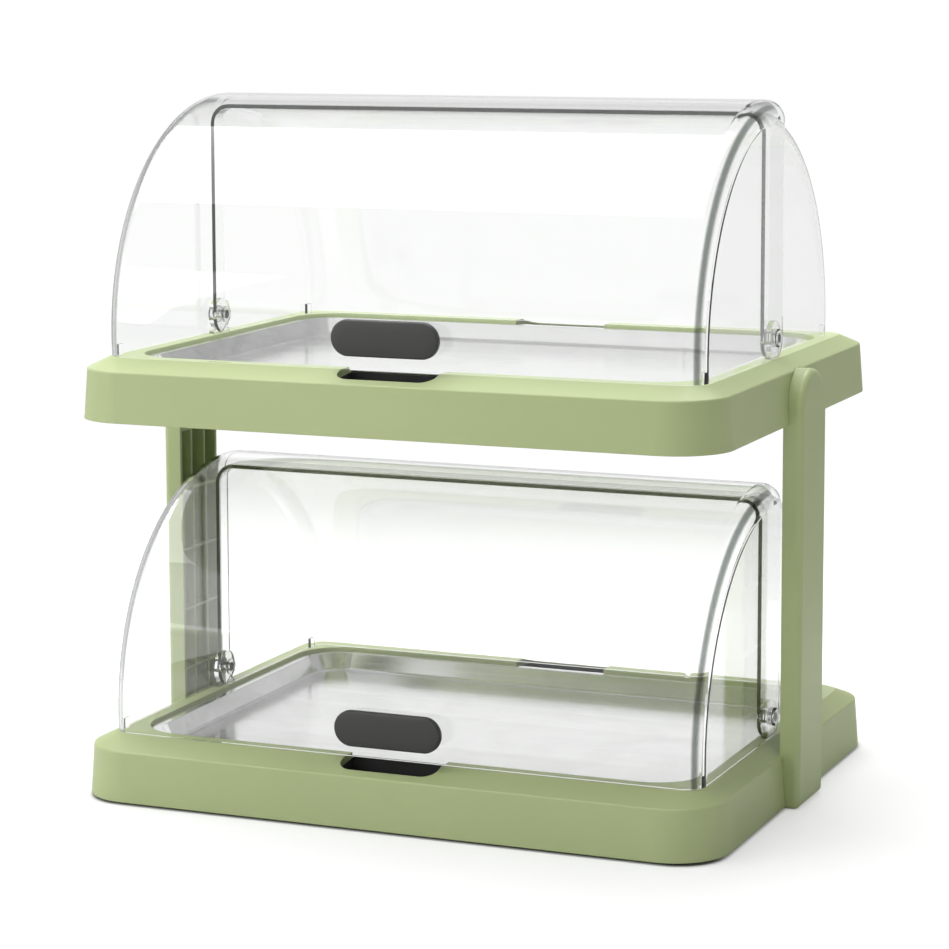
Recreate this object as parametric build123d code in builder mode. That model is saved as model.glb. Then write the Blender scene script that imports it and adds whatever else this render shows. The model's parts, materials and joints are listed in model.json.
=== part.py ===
from build123d import *
from math import atan2, cos, degrees, sqrt
import os

os.makedirs("parts", exist_ok=True)

# Two-tier counter display. Each tier is a moulded base with a well for cold
# packs, a steel tray over them, and a clear roll-top made of two half drums
# that turn on the same pair of pivots. Two ribbed columns join the tiers.
# Millimetres; +X to the right, +Y to the back, +Z up, origin on the counter
# under the middle of the display.

# Overall
base_width = 440.0  # X, at the bottom edge of a base
base_depth = 356.0  # Y, at the bottom edge of a base
tier_gap = 44.0  # air between the lower roll-top and the upper base

# Base moulding
base_corner = 37.0
side_height = 32.7  # up to the crease where the side turns into the slope
side_draft = 2.4  # how far the side leans in over its height
rim_height = 39.2
slope_width_x = 13.1  # crease to rim, at the ends
slope_width_y = 21.1  # crease to rim, front and back
rim_corner = 16.0
crease_radius = 1.4
shell_wall = 3.0
well_floor = 2.0  # underside of the well floor, above the bottom edge
lip_depth = 3.0  # the tray flange lies this far below the rim
ledge_width = 5.5  # what the flange rests on

# Roll-top
rim_margin_x = 1.2  # rim outside the front lid, at the ends
rim_margin_y = 2.0
lid_wall = 2.5
lid_corner = 13.0  # outer rounding between the drum and its end walls
lid_gap = 0.2  # lid edge above the rim
pivot_above_rim = 12.8
lid_overlap = 12.0  # each lid reaches this far past the pivots
drum_gap = 5.0  # between the two drums
pad_size = 7.0  # moulded pad in each lower corner of a lid
pad_wall = 2.0

# Pivots
bracket_wall = 3.5
bracket_radius = 11.2
bracket_neck = 15.0
bracket_foot = 21.0
foot_flange = 2.2
tongue_depth = 4.8
tongue_play = 0.1
side_play = 0.5  # bracket to lid, each side
pin_diameter = 6.0
pin_clearance = 0.05  # radial
pin_head = 12.0
pin_head_wall = 1.8
pin_play = 0.2
cap_diameter = 11.0
cap_wall = 1.7
cap_play = 0.3
cap_web = 0.4

# Tray
steel = 0.8
tray_play = 0.4  # tray to pivot caps when it is lifted
tray_clearance = 1.5  # flange to lip
tray_corner = 31.0
flange_width = 6.4
tray_drop = 11.8  # flange to floor, on the inside
tray_run = 6.0  # how far the sloping sides come in
tray_bend = 3.0

# Handle
pill_length = 74.0
pill_height = 27.0
pill_thickness = 8.6
pill_edge = 2.6
pill_above_rim = 5.3
stud_diameter = 4.0
stud_clearance = 0.05
stud_spacing = 44.0
stud_reach = 1.6  # past the inside of the lid

# Finger recess in the rim, front and back
recess_width = 67.0
recess_reach = 15.5  # outwards from the lid
recess_depth = 15.2
recess_corner = 10.0

# Columns
column_width = 54.0
column_depth = 13.0
column_seat = 4.0  # let into the base, at its bottom edge
column_play = 0.3
column_wall = 2.6
column_web = 3.0
column_edge = 4.2
column_toe = 3.0
column_top = 33.5  # above the bottom edge of the upper base
column_foot_gap = 0.4  # above the counter
rib_wall = 2.0
rib_spacing = 42.0
rib_start = 11.5  # first rib above the bottom edge of the lower base
rib_column_gap = 19.0
rib_setback = 0.5
pad_backing = 4.0  # base wall behind a column
screw_diameter = 4.0
screw_clearance = 0.25
screw_head = 7.5
screw_head_wall = 2.4
screw_length = 11.0
screw_boss = 9.0
screw_low = 9.0
screw_spacing = 13.5

# Feet and cold packs
foot_height = 4.0
foot_diameter = 18.0
foot_inset = 20.0
foot_taper = 12.0
pack_gap = 4.0
pack_margin = 5.5
pack_clearance = 0.3
pack_corner = 14.0
pack_edge = 4.0

# Heights above the bottom edge of a base
pivot_height = rim_height + pivot_above_rim
ledge_height = rim_height - lip_depth
lid_edge = rim_height + lid_gap
well_top = well_floor + shell_wall

# Sizes in plan, halved, worked inwards from the base
crease_x = base_width / 2 - side_draft
crease_y = base_depth / 2 - side_draft
rim_x = crease_x - slope_width_x
rim_y = crease_y - slope_width_y
front_x = rim_x - rim_margin_x
front_radius = rim_y - rim_margin_y
bracket_out = front_x - lid_wall - side_play
bracket_in = bracket_out - bracket_wall
rear_x = bracket_in - side_play
rear_radius = front_radius - lid_wall - drum_gap
cap_out = rear_x - lid_wall - cap_play
cap_in = cap_out - cap_wall
tray_x = cap_in - tray_play
lip_x = tray_x + tray_clearance
lip_y = sqrt((rear_radius - lid_wall) ** 2 - (pivot_above_rim - lid_gap) ** 2) - 0.9
tray_y = lip_y - tray_clearance
well_x = lip_x - ledge_width
well_y = lip_y - ledge_width
dish_x = tray_x - flange_width
dish_y = tray_y - flange_width
lip_corner = tray_corner + tray_clearance
well_corner = lip_corner - ledge_width
dish_corner = tray_corner - flange_width
tray_taper = degrees(atan2(tray_run, tray_drop))

# Handle and finger recess
pill_centre = rim_height + pill_above_rim + pill_height / 2
recess_y = front_radius + recess_reach

# Tiers: the lower base stands on its feet, the upper one on the columns
lower_base = foot_height - well_floor
tier_pitch = pivot_height + front_radius + tier_gap
upper_base = lower_base + tier_pitch
tiers = {"lower": lower_base, "upper": upper_base}

# Columns, from the counter to the round top beside the upper base
column_in = base_width / 2 - column_seat
column_radius = column_width / 2
column_arc = upper_base + column_top - column_radius
backing_in = column_in - pad_backing
rib_rows = int((column_arc - lower_base - rib_start) // rib_spacing) + 1
rib_top = lower_base + rib_start + (rib_rows - 1) * rib_spacing
screw_rows = (screw_low, screw_low + screw_spacing)
pilot_depth = screw_length - pad_backing + 0.5

# The pivot line, in the frame of one tier
pivot_axis = Axis((0, 0, pivot_height), (1, 0, 0))
pivot_section = Plane(origin=(0, 0, pivot_height), x_dir=(1, 0, 0), z_dir=(0, -1, 0))


def column_outline(grow):
    """Flat-bottomed slot, round at the top; grow widens it all round."""
    with Locations((0, column_arc)):
        Circle(column_radius + grow)
        Rectangle(
            column_width + 2 * grow,
            column_arc - column_foot_gap + grow,
            align=(Align.CENTER, Align.MAX),
        )


def drum_section(half_length, radius):
    """Half section of a clear drum with closed ends, above the pivot line."""
    with BuildSketch(pivot_section) as section:
        with BuildLine():
            FilletPolyline(
                (-half_length, 0),
                (-half_length, radius),
                (half_length, radius),
                (half_length, 0),
                radius=lid_corner,
            )
            offset(amount=lid_wall, side=Side.RIGHT)
        make_face()
    return section.sketch


def heel_edges(y):
    """Lower corners of a lid's end walls, past the pivots."""
    return (
        edges()
        .filter_by(Axis.X)
        .filter_by(lambda e: abs(e.center().Y - y) < 0.01 and abs(e.center().Z - lid_edge) < 0.01)
    )


# Base: drafted skirt and sloping rim, shelled from below. The parts of a tier
# are made in its own frame, with z = 0 at the bottom edge of its base.
with BuildPart() as base_body:
    with BuildSketch():
        RectangleRounded(base_width, base_depth, base_corner)
    extrude(amount=side_height, taper=degrees(atan2(side_draft, side_height)))
    with BuildSketch(Plane.XY.offset(side_height)):
        RectangleRounded(2 * crease_x, 2 * crease_y, base_corner - side_draft)
    with BuildSketch(Plane.XY.offset(rim_height)):
        RectangleRounded(2 * rim_x, 2 * rim_y, rim_corner)
    loft(ruled=True)
    crease = edges().filter_by(lambda e: abs(e.center().Z - side_height) < 0.01)
    fillet(crease, crease_radius)
    offset(amount=-shell_wall, openings=faces().sort_by(Axis.Z)[0])

    # Ledge under the tray flange, and the tub below it
    with BuildSketch(Plane.XY.offset(ledge_height - shell_wall)):
        RectangleRounded(
            2 * (lip_x + shell_wall), 2 * (lip_y + shell_wall), lip_corner + shell_wall
        )
    extrude(amount=lip_depth + shell_wall / 2)
    with BuildSketch(Plane.XY.offset(well_floor)):
        RectangleRounded(
            2 * (well_x + shell_wall), 2 * (well_y + shell_wall), well_corner + shell_wall
        )
    extrude(amount=ledge_height - well_floor)

    # Finger recess housings, bracket sockets and column backings
    with BuildSketch(Plane.XY.offset(rim_height - recess_depth - shell_wall)):
        Rectangle(recess_width + 2 * shell_wall, 2 * (recess_y + shell_wall))
        fillet(vertices(), recess_corner + shell_wall)
        Rectangle(base_width, 2 * well_y, mode=Mode.SUBTRACT)
    extrude(until=Until.NEXT)
    with BuildSketch(Plane.XY.offset(rim_height - tongue_depth - shell_wall)):
        with GridLocations(bracket_in + bracket_out, 0, 2, 1):
            Rectangle(bracket_wall + 2 * shell_wall, bracket_neck + 2 * shell_wall)
    extrude(amount=tongue_depth + shell_wall / 2)
    with BuildSketch():
        with GridLocations(column_in + backing_in, 0, 2, 1):
            Rectangle(pad_backing, column_width + 2 * shell_wall)
    extrude(amount=side_height - shell_wall)

    # Tray lip and well
    with BuildSketch(Plane.XY.offset(ledge_height)):
        RectangleRounded(2 * lip_x, 2 * lip_y, lip_corner)
    extrude(amount=lip_depth, mode=Mode.SUBTRACT)
    with BuildSketch(Plane.XY.offset(well_top)):
        RectangleRounded(2 * well_x, 2 * well_y, well_corner)
    extrude(amount=ledge_height - well_top, mode=Mode.SUBTRACT)

    # Finger recesses, open to the well under the tray flange
    with BuildSketch(Plane.XY.offset(rim_height - recess_depth)):
        Rectangle(recess_width, 2 * recess_y)
        fillet(vertices(), recess_corner)
    extrude(amount=recess_depth, mode=Mode.SUBTRACT)

    # Slots for the bracket tongues
    with BuildSketch(Plane.XY.offset(rim_height - tongue_depth)):
        with GridLocations(bracket_in + bracket_out, 0, 2, 1):
            Rectangle(bracket_wall + 2 * tongue_play, bracket_neck + 2 * tongue_play)
    extrude(amount=tongue_depth, mode=Mode.SUBTRACT)

    # Screw holes behind the columns
    for side in (-1, 1):
        with BuildSketch(Plane.YZ.offset(side * backing_in)):
            with Locations(*[(0, z) for z in screw_rows]):
                Circle(screw_diameter / 2 + screw_clearance)
        extrude(amount=side * pad_backing, mode=Mode.SUBTRACT)

# Steel tray: flange on the ledge, sides sloping in to the floor
side_steel = steel / cos(atan2(tray_run, tray_drop))
with BuildPart() as tray:
    with BuildSketch(Plane.XY.offset(ledge_height)):
        RectangleRounded(2 * tray_x, 2 * tray_y, tray_corner)
    extrude(amount=steel)
    with BuildSketch(Plane.XY.offset(ledge_height + steel)):
        RectangleRounded(
            2 * (dish_x + side_steel), 2 * (dish_y + side_steel), dish_corner + side_steel
        )
    extrude(amount=-tray_drop - steel, taper=tray_taper)
    with BuildSketch(Plane.XY.offset(ledge_height + steel)):
        RectangleRounded(2 * dish_x, 2 * dish_y, dish_corner)
    extrude(amount=-tray_drop, taper=tray_taper, mode=Mode.SUBTRACT)
    fillet(faces().filter_by(Axis.Z).sort_by(Axis.Z)[1].edges(), tray_bend)
    fillet(faces().filter_by(Axis.Z).sort_by(Axis.Z)[0].edges(), tray_bend + steel)

# Cold packs, side by side under the tray floor
pack_top = ledge_height - tray_drop - pack_clearance
with BuildPart() as pack_right:
    with BuildSketch(Plane.XY.offset(well_top)):
        with Locations((pack_gap / 2, 0)):
            Rectangle(
                well_x - pack_margin - pack_gap / 2,
                2 * (well_y - pack_margin),
                align=(Align.MIN, Align.CENTER),
            )
        fillet(vertices(), pack_corner)
    extrude(amount=pack_top - well_top)
    fillet(faces().sort_by(Axis.Z)[-1].edges(), pack_edge)
with BuildPart() as pack_left:
    mirror(pack_right.part, about=Plane.YZ)

# Front lid: the outer drum, from the rim up and over to just past the pivots
pad_front = front_radius - lid_corner + lid_wall
pad_rear = rear_radius - lid_corner + lid_wall
with BuildPart() as front_lid:
    revolve(drum_section(front_x, front_radius), axis=pivot_axis)
    split(bisect_by=Plane.XY.offset(lid_edge))
    split(bisect_by=Plane.XZ.offset(-lid_overlap))
    fillet(heel_edges(lid_overlap), lid_overlap * 0.995)
    with BuildSketch(Plane.YZ.offset(-front_x)):
        with Locations((0, pivot_height)):
            Circle(pin_diameter / 2 + pin_clearance)
    extrude(amount=2 * front_x, mode=Mode.SUBTRACT)
    with BuildSketch(Plane.XZ):
        with Locations((0, pill_centre)):
            with GridLocations(stud_spacing, 0, 2, 1):
                Circle(stud_diameter / 2 + stud_clearance)
    extrude(amount=front_radius, mode=Mode.SUBTRACT)
    for side in (-1, 1):
        with BuildSketch(Plane.YZ.offset(side * (front_x - lid_wall / 2))):
            with Locations((-pad_front, lid_edge)):
                Rectangle(pad_size, pad_size, align=(Align.MIN, Align.MIN))
        extrude(amount=-side * (pad_wall + lid_wall / 2))

# Rear lid: the inner drum, which the front lid passes over
with BuildPart() as rear_lid:
    revolve(drum_section(rear_x, rear_radius), axis=pivot_axis)
    split(bisect_by=Plane.XY.offset(lid_edge))
    split(bisect_by=Plane.XZ.offset(lid_overlap), keep=Keep.BOTTOM)
    fillet(heel_edges(-lid_overlap), lid_overlap * 0.995)
    with BuildSketch(Plane.YZ.offset(-rear_x)):
        with Locations((0, pivot_height)):
            Circle(pin_diameter / 2 + pin_clearance)
    extrude(amount=2 * rear_x, mode=Mode.SUBTRACT)
    for side in (-1, 1):
        with BuildSketch(Plane.YZ.offset(side * (rear_x - lid_wall / 2))):
            with Locations((pad_rear, lid_edge)):
                Rectangle(pad_size, pad_size, align=(Align.MAX, Align.MIN))
        extrude(amount=-side * (pad_wall + lid_wall / 2))

# Pill handle, hollowed at the back to sit on the front lid, on two studs
with BuildPart() as handle:
    with BuildSketch(Plane.XZ.offset(front_radius + pill_thickness)):
        with Locations((0, pill_centre)):
            SlotOverall(pill_length, pill_height)
    extrude(amount=-pill_thickness - pill_height / 2)
    fillet(faces().sort_by(Axis.Y)[0].edges(), pill_edge)
    with BuildSketch(Plane.YZ.offset(-pill_length)):
        with Locations((0, pivot_height)):
            Circle(front_radius)
    extrude(amount=2 * pill_length, mode=Mode.SUBTRACT)
    with BuildSketch(Plane.XZ.offset(front_radius - lid_wall - stud_reach)):
        with Locations((0, pill_centre)):
            with GridLocations(stud_spacing, 0, 2, 1):
                Circle(stud_diameter / 2)
    extrude(amount=lid_wall + stud_reach + pill_thickness / 2)

# Clear pivot bracket: round head, neck, and a tongue in the slot of the rim
with BuildPart() as bracket_right:
    with BuildSketch(Plane.YZ.offset(bracket_in)):
        with Locations((0, pivot_height)):
            Circle(bracket_radius)
        with Locations((0, rim_height - tongue_depth + tongue_play)):
            Rectangle(
                bracket_neck,
                pivot_above_rim + tongue_depth - tongue_play,
                align=(Align.CENTER, Align.MIN),
            )
        with Locations((0, rim_height)):
            Rectangle(bracket_foot, foot_flange, align=(Align.CENTER, Align.MIN))
        with Locations((0, pivot_height)):
            Circle(pin_diameter / 2 + pin_clearance, mode=Mode.SUBTRACT)
    extrude(amount=bracket_wall)
with BuildPart() as bracket_left:
    mirror(bracket_right.part, about=Plane.YZ)

# Pivot pin: domed head outside the front lid, tip in the cap
with BuildPart() as pin_right:
    with BuildSketch(Plane.YZ.offset(cap_in + cap_web)):
        with Locations((0, pivot_height)):
            Circle(pin_diameter / 2)
    extrude(amount=front_x + pin_play - cap_in - cap_web)
    with BuildSketch(Plane.YZ.offset(front_x + pin_play)):
        with Locations((0, pivot_height)):
            Circle(pin_head / 2)
    extrude(amount=pin_head_wall)
    fillet(faces().sort_by(Axis.X)[-1].edges(), pin_head_wall * 0.7)
with BuildPart() as pin_left:
    mirror(pin_right.part, about=Plane.YZ)

# Cap that holds the pin, inside the rear lid
with BuildPart() as cap_right:
    with BuildSketch(Plane.YZ.offset(cap_in)):
        with Locations((0, pivot_height)):
            Circle(cap_diameter / 2)
    extrude(amount=cap_wall)
    with BuildSketch(Plane.YZ.offset(cap_in + cap_web)):
        with Locations((0, pivot_height)):
            Circle(pin_diameter / 2 + pin_clearance)
    extrude(amount=cap_wall - cap_web, mode=Mode.SUBTRACT)
with BuildPart() as cap_left:
    mirror(cap_right.part, about=Plane.YZ)

# Column: round-topped channel, open to the inside and ribbed both ways
rib_reach = sqrt(
    (column_radius - column_wall / 2) ** 2 - ((rib_column_gap + rib_wall) / 2) ** 2
)
rib_heights = [lower_base + rib_start + row * rib_spacing for row in range(rib_rows)]
boss_points = [(0, z0 + z) for z0 in tiers.values() for z in screw_rows]
with BuildPart() as column_right:
    with BuildSketch(Plane.YZ.offset(column_in)):
        column_outline(0)
    extrude(amount=column_depth)
    fillet(edges().filter_by(Axis.X).group_by(Axis.Z)[0], column_toe)
    fillet(faces().sort_by(Axis.X)[-1].edges(), column_edge)
    with BuildSketch(Plane.YZ.offset(column_in)):
        column_outline(-column_wall)
    extrude(amount=column_depth - column_web, mode=Mode.SUBTRACT)
    with BuildSketch(Plane.YZ.offset(column_in + rib_setback)):
        with Locations((0, column_arc + rib_reach)):
            with GridLocations(rib_column_gap, 0, 2, 1):
                Rectangle(
                    rib_wall,
                    column_arc + rib_reach - column_foot_gap - column_wall / 2,
                    align=(Align.CENTER, Align.MAX),
                )
        with Locations(*[(0, z) for z in rib_heights]):
            Rectangle(column_width - column_wall, rib_wall)
    extrude(amount=column_depth - column_web / 2 - rib_setback)
    with BuildSketch(Plane.YZ.offset(column_in)):
        with Locations(*boss_points):
            Circle(screw_boss / 2)
    extrude(amount=column_depth - column_web / 2)
    with BuildSketch(Plane.YZ.offset(column_in)):
        with Locations(*boss_points):
            Circle(screw_diameter / 2 + pin_clearance)
    extrude(amount=pilot_depth, mode=Mode.SUBTRACT)
with BuildPart() as column_left:
    mirror(column_right.part, about=Plane.YZ)

# Screw, driven from inside the base into a boss of the column
with BuildPart() as screw_right:
    with BuildSketch(Plane.YZ.offset(backing_in)):
        Circle(screw_diameter / 2)
    extrude(amount=screw_length)
    with BuildSketch(Plane.YZ.offset(backing_in)):
        Circle(screw_head / 2)
    extrude(amount=-screw_head_wall)
with BuildPart() as screw_left:
    mirror(screw_right.part, about=Plane.YZ)

# Rubber foot under the floor of the lower well
with BuildPart() as foot:
    with BuildSketch(Plane.XY.offset(foot_height)):
        Circle(foot_diameter / 2)
    extrude(amount=-foot_height, taper=foot_taper)

# The same set of parts goes into both tiers; only the bases differ, where the
# columns run past the lower one and end beside the upper one.
tier_parts = {
    "tray": tray,
    "pack_left": pack_left,
    "pack_right": pack_right,
    "front_lid": front_lid,
    "rear_lid": rear_lid,
    "handle": handle,
    "bracket_left": bracket_left,
    "bracket_right": bracket_right,
    "pin_left": pin_left,
    "pin_right": pin_right,
    "cap_left": cap_left,
    "cap_right": cap_right,
}
for tier, z0 in tiers.items():
    with BuildPart() as base:
        add(base_body.part.moved(Location((0, 0, z0))))
        for side in (-1, 1):
            with BuildSketch(Plane.YZ.offset(side * column_in)):
                column_outline(column_play)
            extrude(amount=side * column_depth, mode=Mode.SUBTRACT)
    base.part.label = f"{tier}_base"
    export_step(base.part, f"parts/{tier}_base.step")

    for name, piece in tier_parts.items():
        placed = piece.part.moved(Location((0, 0, z0)))
        placed.label = f"{tier}_{name}"
        export_step(placed, f"parts/{tier}_{name}.step")

    for side, screw in (("left", screw_left), ("right", screw_right)):
        for row, z in zip(("low", "high"), screw_rows):
            placed = screw.part.moved(Location((0, 0, z0 + z)))
            placed.label = f"{tier}_screw_{side}_{row}"
            export_step(placed, f"parts/{tier}_screw_{side}_{row}.step")

for side, column in (("left", column_left), ("right", column_right)):
    column.part.label = f"column_{side}"
    export_step(column.part, f"parts/column_{side}.step")

foot_x = well_x - foot_inset
foot_y = well_y - foot_inset
for name, x, y in (
    ("foot_front_left", -foot_x, -foot_y),
    ("foot_front_right", foot_x, -foot_y),
    ("foot_rear_left", -foot_x, foot_y),
    ("foot_rear_right", foot_x, foot_y),
):
    placed = foot.part.moved(Location((x, y, 0)))
    placed.label = name
    export_step(placed, f"parts/{name}.step")
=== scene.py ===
# Two-tier roll-top display: the finishes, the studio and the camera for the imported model.
# Metres, Z up, front towards -Y. Every CAD piece keeps its own mesh and gets its finish here.

import json
import math

import bmesh
import bpy
from mathutils import Matrix, Vector

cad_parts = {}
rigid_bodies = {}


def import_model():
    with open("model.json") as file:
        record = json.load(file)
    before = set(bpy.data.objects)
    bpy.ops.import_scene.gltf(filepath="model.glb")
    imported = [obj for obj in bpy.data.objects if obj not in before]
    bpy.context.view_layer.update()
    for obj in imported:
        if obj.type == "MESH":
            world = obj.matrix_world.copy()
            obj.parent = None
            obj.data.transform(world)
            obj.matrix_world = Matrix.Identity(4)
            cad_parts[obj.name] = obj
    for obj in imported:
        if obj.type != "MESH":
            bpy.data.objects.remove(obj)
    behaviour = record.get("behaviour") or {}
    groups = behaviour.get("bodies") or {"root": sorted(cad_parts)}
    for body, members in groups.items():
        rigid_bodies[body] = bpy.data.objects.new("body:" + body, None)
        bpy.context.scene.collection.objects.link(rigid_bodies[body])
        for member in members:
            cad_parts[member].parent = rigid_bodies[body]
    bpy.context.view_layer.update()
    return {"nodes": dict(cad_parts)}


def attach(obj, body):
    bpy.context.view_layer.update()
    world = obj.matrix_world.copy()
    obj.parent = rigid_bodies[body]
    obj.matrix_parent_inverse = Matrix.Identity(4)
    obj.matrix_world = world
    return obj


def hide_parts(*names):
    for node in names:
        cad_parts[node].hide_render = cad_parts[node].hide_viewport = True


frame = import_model()

# Colours of the finishes, as linear light

SAGE = (0.413, 0.484, 0.236, 1.0)
SAGE_DEEP = (0.389, 0.458, 0.220, 1.0)
SAGE_EDGE = (0.50, 0.565, 0.33, 1.0)
CHARCOAL = (0.036, 0.037, 0.035, 1.0)
CHARCOAL_EDGE = (0.060, 0.061, 0.058, 1.0)
# Painted shade: near-black for the sheets that stand in for the shade inside the finger recesses
RECESS_SHADE_BLACK = (0.010, 0.010, 0.009, 1.0)
STEEL = (0.87, 0.87, 0.87, 1.0)
STEEL_DULL = (0.80, 0.80, 0.80, 1.0)
CLEAR = (0.985, 0.99, 0.985, 1.0)
CLEAR_DEPTH = (0.30, 0.34, 0.31, 1.0)
# Painted shade for the edges and rounded corners of the clear lids
CLEAR_EDGE_SHADE = (0.20, 0.22, 0.205, 1.0)
CLEAR_CORNER_SHADE = (0.26, 0.28, 0.265, 1.0)
RUBBER = (0.024, 0.024, 0.024, 1.0)
RUBBER_DUSTY = (0.045, 0.045, 0.044, 1.0)
ZINC = (0.66, 0.67, 0.69, 1.0)
ZINC_DULL = (0.50, 0.51, 0.52, 1.0)
PACK = (0.42, 0.56, 0.66, 1.0)
PACK_PALE = (0.52, 0.65, 0.74, 1.0)


# Shader effects that several finishes share


def effect_group(name, inputs, outputs):
    """An empty shader group with its named sockets, and its two end nodes."""
    group = bpy.data.node_groups.new(name, "ShaderNodeTree")
    for label, kind, value in inputs:
        socket = group.interface.new_socket(name=label, in_out="INPUT", socket_type=kind)
        if value is not None:
            socket.default_value = value
    for label, kind in outputs:
        group.interface.new_socket(name=label, in_out="OUTPUT", socket_type=kind)
    start = group.nodes.new("NodeGroupInput")
    end = group.nodes.new("NodeGroupOutput")
    start.location, end.location = (-900, 0), (700, 0)
    return group, start, end


def add(tree, kind, at, **settings):
    """A node at a place in the tree. Settings name its properties, or its inputs by label."""
    made = tree.nodes.new(kind)
    made.location = at
    for label, value in settings.items():
        if hasattr(made, label):
            setattr(made, label, value)
        else:
            made.inputs[label.replace("_", " ")].default_value = value
    return made


def join(tree, source, out, target, into):
    tree.links.new(source.outputs[out], target.inputs[into])


def work_out(tree, at, operation, *terms, clamp=False):
    """A sum of one kind. Each term is a number, or a socket to take it from."""
    made = add(tree, "ShaderNodeMath", at, operation=operation, use_clamp=clamp)
    for term, socket in zip(terms, made.inputs):
        if isinstance(term, float):
            socket.default_value = term
        else:
            tree.links.new(term, socket)
    return made.outputs["Value"]


def build_mould_grain():
    """Fine spark-eroded grain of a moulded face, with the broad, faint tone of the flow."""
    group, start, end = effect_group(
        "mould grain",
        [
            ("Position", "NodeSocketVector", None),
            ("Grains per metre", "NodeSocketFloat", 1600.0),
            ("Flow per metre", "NodeSocketFloat", 9.0),
        ],
        [("Height", "NodeSocketFloat"), ("Tone", "NodeSocketFloat")],
    )
    fine = add(group, "ShaderNodeTexNoise", (-500, 160), Detail=2.0, Roughness=0.62)
    flow = add(group, "ShaderNodeTexNoise", (-500, -160), Detail=3.0, Roughness=0.5, Distortion=0.6)
    tone = add(group, "ShaderNodeMapRange", (-200, -160), From_Min=0.32, From_Max=0.68)
    join(group, start, "Position", fine, "Vector")
    join(group, start, "Position", flow, "Vector")
    join(group, start, "Grains per metre", fine, "Scale")
    join(group, start, "Flow per metre", flow, "Scale")
    join(group, flow, "Fac", tone, "Value")
    join(group, fine, "Fac", end, "Height")
    join(group, tone, "Result", end, "Tone")
    return group


def build_edge_wear():
    """A mask and a normal for the small radius that use leaves on a moulded or pressed edge."""
    group, start, end = effect_group(
        "edge wear",
        [
            ("Position", "NodeSocketVector", None),
            ("Radius", "NodeSocketFloat", 0.0006),
            ("Strength", "NodeSocketFloat", 1.0),
        ],
        [("Mask", "NodeSocketFloat"), ("Normal", "NodeSocketVector")],
    )
    rounded = add(group, "ShaderNodeBevel", (-600, 120), samples=4)
    true_face = add(group, "ShaderNodeNewGeometry", (-600, -120))
    turned = add(group, "ShaderNodeVectorMath", (-380, 60), operation="DOT_PRODUCT")
    away = add(group, "ShaderNodeMapRange", (-180, 60), From_Min=0.995, From_Max=0.80)
    patchy = add(group, "ShaderNodeTexNoise", (-380, -220), Scale=140.0, Detail=3.0)
    part = add(
        group, "ShaderNodeMapRange", (-180, -220), From_Min=0.35, From_Max=0.65, To_Min=0.45
    )
    both = add(group, "ShaderNodeMath", (40, 0), operation="MULTIPLY")
    scaled = add(group, "ShaderNodeMath", (240, 0), operation="MULTIPLY", use_clamp=True)
    join(group, start, "Radius", rounded, "Radius")
    join(group, start, "Position", patchy, "Vector")
    join(group, rounded, "Normal", turned, 0)
    join(group, true_face, "Normal", turned, 1)
    join(group, turned, "Value", away, "Value")
    join(group, patchy, "Fac", part, "Value")
    join(group, away, "Result", both, 0)
    join(group, part, "Result", both, 1)
    join(group, both, "Value", scaled, 0)
    join(group, start, "Strength", scaled, 1)
    join(group, scaled, "Value", end, "Mask")
    join(group, rounded, "Normal", end, "Normal")
    return group


def build_wiping_marks():
    """Smudges left by hands and cloths, and the hairlines of wiping, as two masks."""
    group, start, end = effect_group(
        "wiping marks",
        [
            ("Position", "NodeSocketVector", None),
            ("Smudges per metre", "NodeSocketFloat", 14.0),
            ("Hairlines per metre", "NodeSocketFloat", 420.0),
        ],
        [("Smudge", "NodeSocketFloat"), ("Hairline", "NodeSocketFloat")],
    )
    cloud = add(group, "ShaderNodeTexNoise", (-500, 200), Detail=4.0, Roughness=0.6, Distortion=1.1)
    held = add(group, "ShaderNodeMapRange", (-220, 200), From_Min=0.46, From_Max=0.74)
    long_way = add(
        group,
        "ShaderNodeMapping",
        (-700, -120),
        Scale=(0.035, 1.0, 1.0),
        Rotation=(0.10, 0.05, 0.16),
    )
    lines = add(group, "ShaderNodeTexNoise", (-500, -120), Detail=2.0, Roughness=0.7)
    thin = add(group, "ShaderNodeMapRange", (-220, -120), From_Min=0.60, From_Max=0.72)
    join(group, start, "Position", cloud, "Vector")
    join(group, start, "Smudges per metre", cloud, "Scale")
    join(group, start, "Position", long_way, "Vector")
    join(group, long_way, "Vector", lines, "Vector")
    join(group, start, "Hairlines per metre", lines, "Scale")
    join(group, cloud, "Fac", held, "Value")
    join(group, lines, "Fac", thin, "Value")
    join(group, held, "Result", end, "Smudge")
    join(group, thin, "Result", end, "Hairline")
    return group


def build_brushed_grain():
    """Long, fine lines of ground or rolled metal, running along X."""
    group, start, end = effect_group(
        "brushed grain",
        [
            ("Position", "NodeSocketVector", None),
            ("Lines per metre", "NodeSocketFloat", 2600.0),
        ],
        [("Height", "NodeSocketFloat"), ("Streak", "NodeSocketFloat")],
    )
    stretched = add(group, "ShaderNodeMapping", (-700, 0), Scale=(0.012, 1.0, 1.0))
    lines = add(group, "ShaderNodeTexNoise", (-480, 120), Detail=3.0, Roughness=0.65)
    broad = add(group, "ShaderNodeTexNoise", (-480, -120), Detail=2.0, Scale=240.0)
    streak = add(group, "ShaderNodeMapRange", (-200, -120), From_Min=0.34, From_Max=0.66)
    join(group, start, "Position", stretched, "Vector")
    join(group, stretched, "Vector", lines, "Vector")
    join(group, stretched, "Vector", broad, "Vector")
    join(group, start, "Lines per metre", lines, "Scale")
    join(group, broad, "Fac", streak, "Value")
    join(group, lines, "Fac", end, "Height")
    join(group, streak, "Result", end, "Streak")
    return group


MOULD_GRAIN = build_mould_grain()
EDGE_WEAR = build_edge_wear()
WIPING_MARKS = build_wiping_marks()
BRUSHED_GRAIN = build_brushed_grain()


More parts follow.
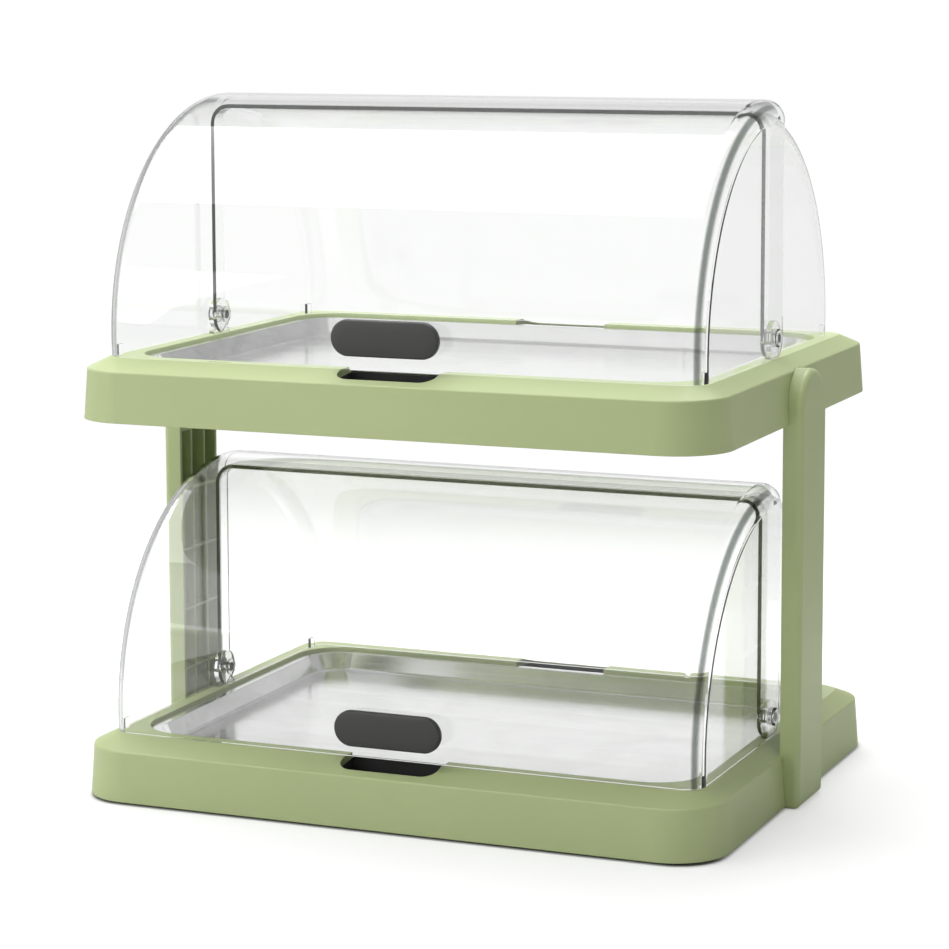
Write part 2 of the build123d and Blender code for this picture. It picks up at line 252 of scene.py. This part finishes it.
def place_effect(tree, group, at, position, **values):
    """An effect group in a material, fed with the object's own coordinates."""
    made = tree.nodes.new("ShaderNodeGroup")
    made.node_tree = group
    made.location = at
    join(tree, position, "Object", made, "Position")
    for label, value in values.items():
        made.inputs[label.replace("_", " ")].default_value = value
    return made


def new_finish(name):
    """A new material with its Principled shader, and object coordinates to place patterns."""
    finish = bpy.data.materials.new(name)
    finish.use_nodes = True
    tree = finish.node_tree
    tree.nodes.clear()
    out = add(tree, "ShaderNodeOutputMaterial", (900, 0))
    skin = add(tree, "ShaderNodeBsdfPrincipled", (560, 0))
    position = add(tree, "ShaderNodeTexCoord", (-1100, 0))
    join(tree, skin, "BSDF", out, "Surface")
    return finish, tree, skin, position, out


def mix_colours(tree, at, fac, first, second):
    """A colour mix by a mask. Each end is a colour, or another mix node to take it from."""
    made = add(tree, "ShaderNodeMix", at, data_type="RGBA")
    tree.links.new(fac, made.inputs["Factor"])
    for label, value in (("A", first), ("B", second)):
        socket = next(s for s in made.inputs if s.name == label and s.type == "RGBA")
        if isinstance(value, tuple):
            socket.default_value = value
        else:
            tree.links.new(value, socket)
    return next(s for s in made.outputs if s.type == "RGBA")


def ramp_value(tree, at, source, low, high):
    """A mask from 0 to 1 taken to a range of values."""
    made = add(tree, "ShaderNodeMapRange", at, To_Min=low, To_Max=high)
    tree.links.new(source, made.inputs["Value"])
    return made.outputs["Result"]


def slide_value(tree, at, source, start, end, low, high):
    """A value that goes smoothly from low to high as the source goes from start to end."""
    made = add(
        tree,
        "ShaderNodeMapRange",
        at,
        interpolation_type="SMOOTHSTEP",
        From_Min=start,
        From_Max=end,
        To_Min=low,
        To_Max=high,
    )
    tree.links.new(source, made.inputs["Value"])
    return made.outputs["Result"]


def raise_grain(tree, at, height, distance, strength, normal=None):
    """A bump from a height in metres, on the plain or an already rounded normal."""
    made = add(tree, "ShaderNodeBump", at, Distance=distance, Strength=strength)
    tree.links.new(height, made.inputs["Height"])
    if normal is not None:
        tree.links.new(normal, made.inputs["Normal"])
    return made.outputs["Normal"]


def dress(tree, skin, colour, rough, normal):
    """The three inputs that every finish drives."""
    for label, source in (("Base Color", colour), ("Roughness", rough), ("Normal", normal)):
        tree.links.new(source, skin.inputs[label])


# Finishes, one for each kind of material


def make_sage_plastic():
    finish, tree, skin, position, out = new_finish("sage moulded plastic")
    grain = place_effect(
        tree, MOULD_GRAIN, (-800, 200), position, Grains_per_metre=1900.0, Flow_per_metre=7.0
    )
    wear = place_effect(tree, EDGE_WEAR, (-800, -120), position, Radius=0.0008, Strength=0.6)
    body = mix_colours(tree, (-400, 240), grain.outputs["Tone"], SAGE_DEEP, SAGE)
    worn = mix_colours(tree, (-160, 240), wear.outputs["Mask"], body, SAGE_EDGE)
    rough = ramp_value(tree, (-160, 0), grain.outputs["Tone"], 0.42, 0.35)
    raised = raise_grain(
        tree, (100, -260), grain.outputs["Height"], 0.00004, 0.35, wear.outputs["Normal"]
    )
    dress(tree, skin, worn, rough, raised)
    skin.inputs["IOR"].default_value = 1.50
    return finish


def make_charcoal_plastic():
    finish, tree, skin, position, out = new_finish("charcoal grip plastic")
    grain = place_effect(
        tree, MOULD_GRAIN, (-800, 200), position, Grains_per_metre=1500.0, Flow_per_metre=45.0
    )
    wear = place_effect(tree, EDGE_WEAR, (-800, -120), position, Radius=0.0005, Strength=0.6)
    marks = place_effect(
        tree,
        WIPING_MARKS,
        (-800, -420),
        position,
        Smudges_per_metre=60.0,
        Hairlines_per_metre=900.0,
    )
    worn = mix_colours(tree, (-300, 240), wear.outputs["Mask"], CHARCOAL, CHARCOAL_EDGE)
    rough = ramp_value(tree, (-200, 0), marks.outputs["Smudge"], 0.48, 0.36)
    raised = raise_grain(
        tree, (100, -260), grain.outputs["Height"], 0.00006, 0.6, wear.outputs["Normal"]
    )
    dress(tree, skin, worn, rough, raised)
    return finish


# A near-black finish for the recess pockets, which paints the shade inside the finger recesses.
def make_recess_shade_plastic():
    finish, tree, skin, position, out = new_finish("painted recess shade plastic")
    grain = place_effect(
        tree, MOULD_GRAIN, (-800, 200), position, Grains_per_metre=1500.0, Flow_per_metre=40.0
    )
    body = mix_colours(tree, (-400, 240), grain.outputs["Tone"], RECESS_SHADE_BLACK, RUBBER)
    rough = ramp_value(tree, (-200, 0), grain.outputs["Tone"], 0.62, 0.74)
    raised = raise_grain(tree, (100, -260), grain.outputs["Height"], 0.00005, 0.5)
    dress(tree, skin, body, rough, raised)
    return finish


def paint_corner_shade(tree, position, facing):
    """1 on the rounded corners between a lid's drum and its end walls, seen from any side.

    A narrow line follows each corner, and it widens where the corner is looked along. The mask
    paints shade: it darkens the lid's colour there in place of the dark reflections the corners
    show.
    """
    face = add(tree, "ShaderNodeNewGeometry", (-1500, 640))
    parts = add(tree, "ShaderNodeSeparateXYZ", (-1320, 640))
    join(tree, face, "Normal", parts, "Vector")
    sideways = work_out(tree, (-1140, 640), "ABSOLUTE", parts.outputs["X"])
    squared = work_out(tree, (-960, 560), "MULTIPLY", sideways, sideways)
    rest = work_out(tree, (-780, 560), "SUBTRACT", 1.0, squared, clamp=True)
    upright = work_out(tree, (-600, 560), "SQRT", rest)
    both = work_out(tree, (-420, 640), "MULTIPLY", sideways, upright)
    line = slide_value(tree, (-240, 640), both, 0.44, 0.495, 0.0, 1.0)
    wide = slide_value(tree, (-240, 1100), both, 0.16, 0.40, 0.0, 1.0)
    grazed = slide_value(tree, (-240, 1340), facing, 0.50, 0.78, 0.0, 1.0)
    glanced = work_out(tree, (-60, 1100), "MULTIPLY", wide, grazed)
    dark = work_out(tree, (120, 1000), "MAXIMUM", line, glanced)
    # The front lid is the outer one, and only it gets this painted shade.
    where = add(tree, "ShaderNodeSeparateXYZ", (-420, 860))
    join(tree, position, "Object", where, "Vector")
    forward = work_out(tree, (-240, 860), "LESS_THAN", where.outputs["Y"], 0.0)
    return work_out(tree, (-60, 760), "MULTIPLY", dark, forward)


def make_clear_plastic():
    finish, tree, skin, position, out = new_finish("clear moulded plastic")
    marks = place_effect(
        tree,
        WIPING_MARKS,
        (-800, 0),
        position,
        Smudges_per_metre=11.0,
        Hairlines_per_metre=380.0,
    )
    # Painted shade: the lid's colour is darkened where a wall is looked along and at its rounded
    # corners, in place of the dark edges that reflection and refraction give.
    turned = add(tree, "ShaderNodeLayerWeight", (-800, 320), Blend=0.5)
    facing = turned.outputs["Facing"]
    edge_shade_mask = slide_value(tree, (-560, 320), facing, 0.78, 0.97, 0.0, 1.0)
    corner_shade_mask = paint_corner_shade(tree, position, facing)
    corner_shaded = mix_colours(tree, (-60, 520), corner_shade_mask, CLEAR, CLEAR_CORNER_SHADE)
    shade = mix_colours(tree, (140, 320), edge_shade_mask, corner_shaded, CLEAR_EDGE_SHADE)
    rough = ramp_value(tree, (-300, 0), marks.outputs["Smudge"], 0.0, 0.02)
    raised = raise_grain(tree, (100, -260), marks.outputs["Hairline"], 0.00001, 0.05)
    dress(tree, skin, shade, rough, raised)
    skin.inputs["Transmission Weight"].default_value = 1.0
    skin.inputs["IOR"].default_value = 1.49
    # Lamps reach the trays through the lids, and the plastic dims what goes far inside it.
    lamp_ray = add(tree, "ShaderNodeLightPath", (560, 320))
    open_way = add(tree, "ShaderNodeBsdfTransparent", (560, -520), Color=(0.96, 0.965, 0.96, 1.0))
    either = add(tree, "ShaderNodeMixShader", (760, 120))
    depth = add(tree, "ShaderNodeVolumeAbsorption", (760, -240), Color=CLEAR_DEPTH, Density=2.2)
    join(tree, lamp_ray, "Is Shadow Ray", either, 0)
    join(tree, skin, "BSDF", either, 1)
    join(tree, open_way, "BSDF", either, 2)
    join(tree, either, "Shader", out, "Surface")
    join(tree, depth, "Volume", out, "Volume")
    return finish


def make_tray_steel():
    finish, tree, skin, position, out = new_finish("polished tray steel")
    brush = place_effect(tree, BRUSHED_GRAIN, (-800, 200), position, Lines_per_metre=2600.0)
    marks = place_effect(
        tree,
        WIPING_MARKS,
        (-800, -120),
        position,
        Smudges_per_metre=16.0,
        Hairlines_per_metre=600.0,
    )
    wear = place_effect(tree, EDGE_WEAR, (-800, -420), position, Radius=0.0007, Strength=0.4)
    body = mix_colours(tree, (-400, 240), marks.outputs["Smudge"], STEEL, STEEL_DULL)
    rough = ramp_value(tree, (-200, 0), brush.outputs["Streak"], 0.15, 0.21)
    raised = raise_grain(
        tree, (100, -260), brush.outputs["Height"], 0.00002, 0.12, wear.outputs["Normal"]
    )
    dress(tree, skin, body, rough, raised)
    skin.inputs["Metallic"].default_value = 1.0
    return finish


def make_zinc_steel():
    finish, tree, skin, position, out = new_finish("zinc plated steel")
    brush = place_effect(tree, BRUSHED_GRAIN, (-800, 200), position, Lines_per_metre=5200.0)
    wear = place_effect(tree, EDGE_WEAR, (-800, -120), position, Radius=0.0003, Strength=0.9)
    body = mix_colours(tree, (-400, 240), brush.outputs["Streak"], ZINC_DULL, ZINC)
    rough = ramp_value(tree, (-200, 0), wear.outputs["Mask"], 0.36, 0.22)
    raised = raise_grain(
        tree, (100, -260), brush.outputs["Height"], 0.00002, 0.2, wear.outputs["Normal"]
    )
    dress(tree, skin, body, rough, raised)
    skin.inputs["Metallic"].default_value = 1.0
    return finish


def make_rubber():
    finish, tree, skin, position, out = new_finish("black foot rubber")
    grain = place_effect(
        tree, MOULD_GRAIN, (-800, 200), position, Grains_per_metre=1200.0, Flow_per_metre=60.0
    )
    body = mix_colours(tree, (-400, 240), grain.outputs["Tone"], RUBBER, RUBBER_DUSTY)
    rough = ramp_value(tree, (-200, 0), grain.outputs["Tone"], 0.72, 0.86)
    raised = raise_grain(tree, (100, -260), grain.outputs["Height"], 0.00006, 0.5)
    dress(tree, skin, body, rough, raised)
    return finish


def make_pack_film():
    finish, tree, skin, position, out = new_finish("cold pack plastic")
    grain = place_effect(
        tree, MOULD_GRAIN, (-800, 200), position, Grains_per_metre=900.0, Flow_per_metre=24.0
    )
    marks = place_effect(
        tree,
        WIPING_MARKS,
        (-800, -120),
        position,
        Smudges_per_metre=20.0,
        Hairlines_per_metre=500.0,
    )
    body = mix_colours(tree, (-400, 240), grain.outputs["Tone"], PACK, PACK_PALE)
    rough = ramp_value(tree, (-200, 0), marks.outputs["Smudge"], 0.34, 0.48)
    raised = raise_grain(tree, (100, -260), grain.outputs["Height"], 0.00008, 0.4)
    dress(tree, skin, body, rough, raised)
    skin.inputs["Subsurface Weight"].default_value = 0.1
    skin.inputs["Subsurface Radius"].default_value = (0.004, 0.005, 0.006)
    skin.inputs["Subsurface Scale"].default_value = 1.0
    return finish


FINISHES = {
    "green_plastic": make_sage_plastic(),
    "dark_plastic": make_charcoal_plastic(),
    "clear_plastic": make_clear_plastic(),
    "stainless_steel": make_tray_steel(),
    "zinc_steel": make_zinc_steel(),
    "black_rubber": make_rubber(),
    "cold_pack": make_pack_film(),
}
RECESS_SHADE_FINISH = make_recess_shade_plastic()

for piece in frame["nodes"].values():
    for place in piece.material_slots:
        kind = place.material.name.split(".")[0]
        if kind in FINISHES:
            place.material = FINISHES[kind]


# Modelling by hand


def begin_piece():
    """Nothing is selected before a new primitive is added."""
    if bpy.context.mode != "OBJECT":
        bpy.ops.object.mode_set(mode="OBJECT")
    bpy.ops.object.select_all(action="DESELECT")


def set_in_place(piece):
    """The piece's place goes into its mesh."""
    bpy.ops.object.select_all(action="DESELECT")
    piece.select_set(True)
    bpy.context.view_layer.objects.active = piece
    bpy.ops.object.transform_apply(location=True, rotation=True, scale=True)


def pick(piece, what, test):
    """In edit mode, selects only the vertices, edges or faces that pass a test of their middle."""
    mesh = bmesh.from_edit_mesh(piece.data)
    bpy.ops.mesh.select_all(action="DESELECT")
    bpy.ops.mesh.select_mode(type=what)
    if what == "VERT":
        for corner in mesh.verts:
            corner.select_set(test(corner.co, corner.normal))
    elif what == "EDGE":
        for edge in mesh.edges:
            ends = edge.verts[1].co - edge.verts[0].co
            edge.select_set(test((edge.verts[0].co + edge.verts[1].co) / 2, ends.normalized()))
    else:
        for face in mesh.faces:
            face.select_set(test(face.calc_center_median(), face.normal))
    mesh.select_flush_mode()
    bmesh.update_edit_mesh(piece.data)


def put_together(pieces, name):
    """Several finished shapes become one piece."""
    bpy.ops.object.select_all(action="DESELECT")
    for piece in pieces:
        piece.select_set(True)
    bpy.context.view_layer.objects.active = pieces[0]
    bpy.ops.object.join()
    pieces[0].name = name
    pieces[0].data.name = name
    return pieces[0]


def smooth_curves(piece, degrees):
    bpy.ops.object.select_all(action="DESELECT")
    piece.select_set(True)
    bpy.context.view_layer.objects.active = piece
    bpy.ops.object.shade_smooth_by_angle(angle=math.radians(degrees))


def copy_piece(piece, name, offset=(0.0, 0.0, 0.0), turned=False):
    """A copy with its own mesh, moved, or also turned half way round the middle."""
    bpy.ops.object.select_all(action="DESELECT")
    piece.select_set(True)
    bpy.context.view_layer.objects.active = piece
    bpy.ops.object.duplicate(linked=False)
    made = bpy.context.object
    made.name = name
    made.data.name = name
    if turned:
        made.rotation_euler = (0.0, 0.0, math.pi)
    made.location = offset
    set_in_place(made)
    return made


# Pill-shaped grip on a neck, held to the front lid by two studs

LOWER_EDGE, TIER_PITCH = 0.002, 0.2485
GRIP_HEIGHT, GRIP_HALF_LENGTH, GRIP_MIDDLE = 0.0232, 0.0365, 0.0602
PILL_THICKNESS, PILL_Y = 0.0048, -0.1616
PILL_FRONT_ROUND, PILL_BACK_ROUND = 0.0016, 0.0009
PILL_CROWN = ((0.0016, 0.00022), (0.0022, 0.00018), (0.0028, 0.00010))
NECK_SIZE, NECK_Y, NECK_ROUND, NECK_LEAN = (0.060, 0.0069, 0.0125), -0.15595, 0.0045, 0.00065
STUD_LEVEL, STUD_SPACING = 0.0580, 0.044
STUD_RADIUS, STUD_LENGTH, STUD_Y, STUD_ROUND = 0.0020, 0.0052, -0.1510, 0.0007


def model_grip():
    middle = LOWER_EDGE + GRIP_MIDDLE
    reach = GRIP_HALF_LENGTH - GRIP_HEIGHT / 2
    begin_piece()
    bpy.ops.mesh.primitive_cylinder_add(
        vertices=96,
        radius=GRIP_HEIGHT / 2,
        depth=PILL_THICKNESS,
        location=(0.0, PILL_Y, middle),
        rotation=(math.pi / 2, 0.0, 0.0),
    )
    pill = bpy.context.object
    set_in_place(pill)
    bpy.ops.object.mode_set(mode="EDIT")
    for side in (-1, 1):
        pick(pill, "VERT", lambda co, normal: co.x * side > 0.0001)
        bpy.ops.transform.translate(value=(side * reach, 0.0, 0.0))
    pick(pill, "FACE", lambda co, normal: normal.y < -0.9)
    bpy.ops.mesh.bevel(offset=PILL_FRONT_ROUND, segments=5, profile=0.5, affect="EDGES")
    for inset, rise in PILL_CROWN:
        pick(pill, "FACE", lambda co, normal: normal.y < -0.99 and abs(co.x) < 0.001)
        bpy.ops.mesh.inset(thickness=inset, depth=0.0)
        bpy.ops.transform.translate(value=(0.0, -rise, 0.0))
    pick(pill, "FACE", lambda co, normal: normal.y > 0.9)
    bpy.ops.mesh.bevel(offset=PILL_BACK_ROUND, segments=3, profile=0.5, affect="EDGES")
    bpy.ops.object.mode_set(mode="OBJECT")

    begin_piece()
    bpy.ops.mesh.primitive_cube_add(size=1.0, location=(0.0, NECK_Y, middle), scale=NECK_SIZE)
    neck = bpy.context.object
    set_in_place(neck)
    bpy.ops.object.mode_set(mode="EDIT")
    pick(neck, "VERT", lambda co, normal: co.y > NECK_Y and co.z > middle)
    bpy.ops.transform.translate(value=(0.0, NECK_LEAN, 0.0))
    pick(neck, "EDGE", lambda co, along: abs(along.y) > 0.9)
    bpy.ops.mesh.bevel(offset=NECK_ROUND, segments=6, profile=0.5, affect="EDGES")
    bpy.ops.object.mode_set(mode="OBJECT")

    studs = []
    for side in (-1, 1):
        begin_piece()
        bpy.ops.mesh.primitive_cylinder_add(
            vertices=24,
            radius=STUD_RADIUS,
            depth=STUD_LENGTH,
            location=(side * STUD_SPACING / 2, STUD_Y, LOWER_EDGE + STUD_LEVEL),
            rotation=(math.pi / 2, 0.0, 0.0),
        )
        stud = bpy.context.object
        set_in_place(stud)
        bpy.ops.object.mode_set(mode="EDIT")
        pick(stud, "FACE", lambda co, normal: normal.y > 0.9)
        bpy.ops.mesh.bevel(offset=STUD_ROUND, segments=3, profile=0.5, affect="EDGES")
        bpy.ops.object.mode_set(mode="OBJECT")
        studs.append(stud)
    grip = put_together([pill, neck] + studs, "lower_grip")
    grip.data.materials.clear()
    grip.data.materials.append(FINISHES["dark_plastic"])
    smooth_curves(grip, 32.0)
    return grip


# Black pockets in the finger recesses: dark sheets that paint the shade inside them, and close them
# off from the well

POCKET_SIZE, POCKET_Y, POCKET_MIDDLE = (0.0664, 0.0270, 0.0098), -0.1542, 0.0291
POCKET_CORNER, POCKET_FLOOR_ROUND, POCKET_WALL = 0.0098, 0.0022, 0.0006
POCKET_BACK_Y, POCKET_BACK_RISE = -0.142, 0.0018
POCKET_HIGH, POCKET_LOW = 0.033, 0.0245


def model_shade_pocket():
    begin_piece()
    bpy.ops.mesh.primitive_cube_add(
        size=1.0, location=(0.0, POCKET_Y, LOWER_EDGE + POCKET_MIDDLE), scale=POCKET_SIZE
    )
    shade_pocket = bpy.context.object
    shade_pocket.name = shade_pocket.data.name = "lower_shade_pocket_front"
    set_in_place(shade_pocket)
    bpy.ops.object.mode_set(mode="EDIT")
    pick(shade_pocket, "EDGE", lambda co, along: abs(along.z) > 0.9 and co.y < -0.16)
    bpy.ops.mesh.bevel(offset=POCKET_CORNER, segments=10, profile=0.5, affect="EDGES")
    pick(shade_pocket, "FACE", lambda co, normal: normal.z > 0.9)
    bpy.ops.mesh.delete(type="FACE")
    high, low = LOWER_EDGE + POCKET_HIGH, LOWER_EDGE + POCKET_LOW
    pick(shade_pocket, "VERT", lambda co, normal: co.z > high and co.y > POCKET_BACK_Y)
    bpy.ops.transform.translate(value=(0.0, 0.0, POCKET_BACK_RISE))
    pick(shade_pocket, "EDGE", lambda co, along: co.z < low and abs(along.z) < 0.1)
    bpy.ops.mesh.bevel(offset=POCKET_FLOOR_ROUND, segments=4, profile=0.5, affect="EDGES")
    bpy.ops.object.mode_set(mode="OBJECT")
    wall = shade_pocket.modifiers.new("wall", "SOLIDIFY")
    wall.thickness = POCKET_WALL
    wall.offset = -1.0
    bpy.ops.object.modifier_apply(modifier=wall.name)
    shade_pocket.data.materials.append(RECESS_SHADE_FINISH)
    smooth_curves(shade_pocket, 32.0)
    return shade_pocket


def fit_piece(piece, body):
    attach(piece, body)


lower_grip = model_grip()
upper_grip = copy_piece(lower_grip, "upper_grip", (0.0, 0.0, TIER_PITCH))
lower_shade_pocket = model_shade_pocket()
shade_pockets = [
    lower_shade_pocket,
    copy_piece(lower_shade_pocket, "lower_shade_pocket_rear", turned=True),
    copy_piece(lower_shade_pocket, "upper_shade_pocket_front", (0.0, 0.0, TIER_PITCH)),
    copy_piece(lower_shade_pocket, "upper_shade_pocket_rear", (0.0, 0.0, TIER_PITCH), turned=True),
]
for tier, grip in (("lower", lower_grip), ("upper", upper_grip)):
    fit_piece(grip, tier + "_front_roll")
    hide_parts(tier + "_handle")
for shade_pocket in shade_pockets:
    fit_piece(shade_pocket, "stand")


# Floor, backdrop and lamps


WHITE = (1.0, 1.0, 1.0, 1.0)
# The world: how bright it is for what gathers light, and for what looks or mirrors
FILL_FROM, FILL_DIM, FILL_BRIGHT = (-0.6, -0.8, 0.0), 0.24, 0.46
ROOM_LEVEL, FRONT_LEVEL, RIGHT_LIFT = 0.38, 0.90, 1.8
# The floor: its tone for gathered light, how much of it is paint and how much is glow
FLOOR_TONE, SEEN_DROP, FAR_DROP, FAR_GLOW, NEAR_GLOW = 0.80, -0.25, -0.55, 0.56, 0.44
FADE_START, FADE_END = 0.45, 1.3
# The box under the object where the floor's glow is cut off, painting a contact shadow
SHADOW_CORE, SHADOW_EDGE, GLOW_EDGE = (0.190, 0.148, 0.0), 0.0245, 0.0325


def sees_backdrop(tree, at):
    """1 for a ray that looks, mirrors or passes glass, 0 for a ray that gathers light."""
    path = add(tree, "ShaderNodeLightPath", at).outputs
    first = work_out(
        tree, (at[0] + 200, at[1]), "MAXIMUM", path["Is Camera Ray"], path["Is Glossy Ray"]
    )
    return work_out(tree, (at[0] + 400, at[1]), "MAXIMUM", first, path["Is Transmission Ray"])


def make_world():
    """White all round for what looks at it. High up it is a dim room, which the lids mirror."""
    room = bpy.data.worlds.new("studio")
    room.use_nodes = True
    bpy.context.scene.world = room
    tree = room.node_tree
    tree.nodes.clear()
    out = add(tree, "ShaderNodeOutputWorld", (600, 0))
    ambient = add(tree, "ShaderNodeBackground", (0, 100), Color=WHITE)
    white = add(tree, "ShaderNodeBackground", (0, -100), Color=WHITE)
    pick_one = add(tree, "ShaderNodeMixShader", (300, 0))
    way = add(tree, "ShaderNodeTexCoord", (-1300, -300))
    parts = add(tree, "ShaderNodeSeparateXYZ", (-1100, -300))
    join(tree, way, "Generated", parts, "Vector")
    # The light that fills the shadows comes mostly from the front left.
    to_left = add(tree, "ShaderNodeVectorMath", (-1100, 360), operation="DOT_PRODUCT")
    to_left.inputs[1].default_value = FILL_FROM
    join(tree, way, "Generated", to_left, 0)
    fill = slide_value(
        tree, (-900, 360), to_left.outputs["Value"], -0.8, 0.8, FILL_DIM, FILL_BRIGHT
    )
    tree.links.new(fill, ambient.inputs["Strength"])
    # The dim room comes lower down on the right.
    rightward = work_out(tree, (-1300, -120), "MAXIMUM", parts.outputs["X"], 0.0)
    lift = work_out(tree, (-1100, -120), "MULTIPLY_ADD", rightward, RIGHT_LIFT, 1.0)
    height = work_out(tree, (-1000, -220), "MULTIPLY", lift, parts.outputs["Z"])
    high_up = slide_value(tree, (-900, -220), height, 0.28, 0.44, 1.0, ROOM_LEVEL)
    in_front = slide_value(
        tree, (-900, -460), parts.outputs["Y"], -0.20, -0.45, 0.0, FRONT_LEVEL
    )
    either = work_out(tree, (-680, -300), "MAXIMUM", high_up, in_front)
    looked_at = add(tree, "ShaderNodeLightPath", (-900, -700)).outputs["Is Camera Ray"]
    level = work_out(tree, (-460, -300), "MAXIMUM", either, looked_at)
    tree.links.new(level, white.inputs["Strength"])
    tree.links.new(sees_backdrop(tree, (-700, 200)), pick_one.inputs[0])
    join(tree, ambient, "Background", pick_one, 1)
    join(tree, white, "Background", pick_one, 2)
    join(tree, pick_one, "Shader", out, "Surface")


def distance_past(tree, position, core):
    """How far a point of the floor is from a box round the middle, the same on all sides."""
    across = add(tree, "ShaderNodeVectorMath", (-900, -560), operation="ABSOLUTE")
    past = add(tree, "ShaderNodeVectorMath", (-720, -560), operation="SUBTRACT")
    outside = add(tree, "ShaderNodeVectorMath", (-540, -560), operation="MAXIMUM")
    outward = add(tree, "ShaderNodeVectorMath", (-360, -560), operation="LENGTH")
    past.inputs[1].default_value = core
    join(tree, position, "Object", across, 0)
    join(tree, across, "Vector", past, 0)
    join(tree, past, "Vector", outside, 0)
    join(tree, outside, "Vector", outward, 0)
    return outward.outputs["Value"]


def make_floor():
    """A pale floor that keeps the shadow near the object and runs out into the white backdrop."""
    begin_piece()
    bpy.ops.mesh.primitive_plane_add(size=16.0, location=(0.0, 0.0, 0.0))
    floor = bpy.context.object
    floor.name = "studio_floor"
    finish, tree, skin, position, out = new_finish("pale studio floor")
    skin.inputs["Roughness"].default_value = 0.9
    skin.inputs["Specular IOR Level"].default_value = 0.1
    skin.inputs["Emission Color"].default_value = WHITE
    seen = sees_backdrop(tree, (-900, -300))
    away = add(tree, "ShaderNodeVectorMath", (-900, 100), operation="LENGTH")
    join(tree, position, "Object", away, 0)
    distance = slide_value(
        tree, (-700, 100), away.outputs["Value"], FADE_START, FADE_END, 0.0, 1.0
    )
    fade = work_out(tree, (-300, 0), "MULTIPLY", distance, seen)
    pale = work_out(tree, (-100, 260), "MULTIPLY_ADD", seen, SEEN_DROP, FLOOR_TONE)
    ground = work_out(tree, (100, 260), "MULTIPLY_ADD", fade, FAR_DROP, pale)
    # Painted shadow: the glow stops in a box under the object, so the floor in the gap under its
    # feet shows dark there.
    outward = distance_past(tree, position, SHADOW_CORE)
    glow_outside_shadow = slide_value(
        tree, (-180, -560), outward, SHADOW_EDGE, GLOW_EDGE, 0.0, NEAR_GLOW
    )
    # Plastic that mirrors the floor close by doesn't see the glow.
    path = add(tree, "ShaderNodeLightPath", (-500, -300)).outputs
    straight = work_out(
        tree, (-300, -300), "MAXIMUM", path["Is Camera Ray"], path["Is Transmission Ray"]
    )
    near_glow = work_out(tree, (-100, -300), "MULTIPLY", straight, glow_outside_shadow)
    glow = work_out(tree, (100, -200), "MULTIPLY_ADD", fade, FAR_GLOW, near_glow)
    tree.links.new(ground, skin.inputs["Base Color"])
    tree.links.new(glow, skin.inputs["Emission Strength"])
    floor.data.materials.append(finish)


def hang_softbox(name, place, aim, width, height, power):
    """A large soft lamp that lights and mirrors but isn't seen itself."""
    bpy.ops.object.light_add(type="AREA", location=place)
    lamp = bpy.context.object
    lamp.name = name
    lamp.data.shape = "RECTANGLE"
    lamp.data.size = width
    lamp.data.size_y = height
    lamp.data.energy = power
    lamp.rotation_euler = (Vector(aim) - Vector(place)).to_track_quat("-Z", "Y").to_euler()
    lamp.visible_camera = False
    lamp.visible_transmission = False
    return lamp


def stand_flag(name, start, end, top, grey):
    """A dark card that only mirrors in plastic and steel, as a studio flag does."""
    begin_piece()
    start, end = Vector(start), Vector(end)
    along = end - start
    bpy.ops.mesh.primitive_plane_add(size=1.0, location=(0.0, 0.0, 0.0))
    card = bpy.context.object
    card.name = name
    card.scale = (along.length, top, 1.0)
    card.rotation_euler = (math.pi / 2, 0.0, math.atan2(along.y, along.x))
    middle = (start + end) / 2
    card.location = (middle.x, middle.y, top / 2)
    set_in_place(card)
    finish, tree, skin, position, out = new_finish(name)
    skin.inputs["Base Color"].default_value = (0.0, 0.0, 0.0, 1.0)
    skin.inputs["Specular IOR Level"].default_value = 0.0
    skin.inputs["Emission Color"].default_value = WHITE
    skin.inputs["Emission Strength"].default_value = grey
    card.data.materials.append(finish)
    card.visible_camera = False
    card.visible_diffuse = False
    card.visible_transmission = False
    card.visible_shadow = False


make_world()
make_floor()
middle = (0.0, 0.0, 0.2)
hang_softbox("top_softbox", (-0.9, -0.05, 2.4), (-0.9, -0.05, 0.0), 3.2, 2.1, 78.0)
hang_softbox("left_softbox", (-1.9, -2.0, 0.9), middle, 1.4, 1.2, 15.0)
rear_softbox = hang_softbox("rear_softbox", (-0.5, 1.5, 2.2), middle, 1.6, 1.2, 42.0)
# The rear lamp isn't mirrored in the lids.
lit_by_rear = bpy.data.collections.new("lit_by_rear_softbox")
for thing in bpy.context.scene.objects:
    if thing.type == "MESH" and FINISHES["clear_plastic"] not in list(thing.data.materials):
        lit_by_rear.objects.link(thing)
rear_softbox.light_linking.receiver_collection = lit_by_rear
stand_flag("right_flag", (0.05, 0.80, 0.0), (1.9, -0.2, 0.0), 1.0, 0.5)

# Camera at the viewing angle of the photograph

YAW, PITCH, ROLL = math.radians(22.636), math.radians(7.421), math.radians(-0.165)
EYE = (0.7822, -1.8934, 0.5329)
PICTURE_SIDE, FOCAL_PIXELS, RAISED_PIXELS = 949.0, 3090.2, -95.0
camera = bpy.data.cameras.new("camera")
camera.sensor_width = 36.0
camera.lens = FOCAL_PIXELS / PICTURE_SIDE * camera.sensor_width
camera.shift_y = RAISED_PIXELS / PICTURE_SIDE
camera.clip_start, camera.clip_end = 0.05, 60.0
viewer = bpy.data.objects.new("camera", camera)
bpy.context.scene.collection.objects.link(viewer)
turn = (
    Matrix.Rotation(YAW, 4, "Z")
    @ Matrix.Rotation(math.pi / 2 - PITCH, 4, "X")
    @ Matrix.Rotation(ROLL, 4, "Z")
)
viewer.matrix_world = Matrix.Translation(EYE) @ turn
bpy.context.scene.camera = viewer
bpy.context.scene.view_settings.view_transform = "Standard"
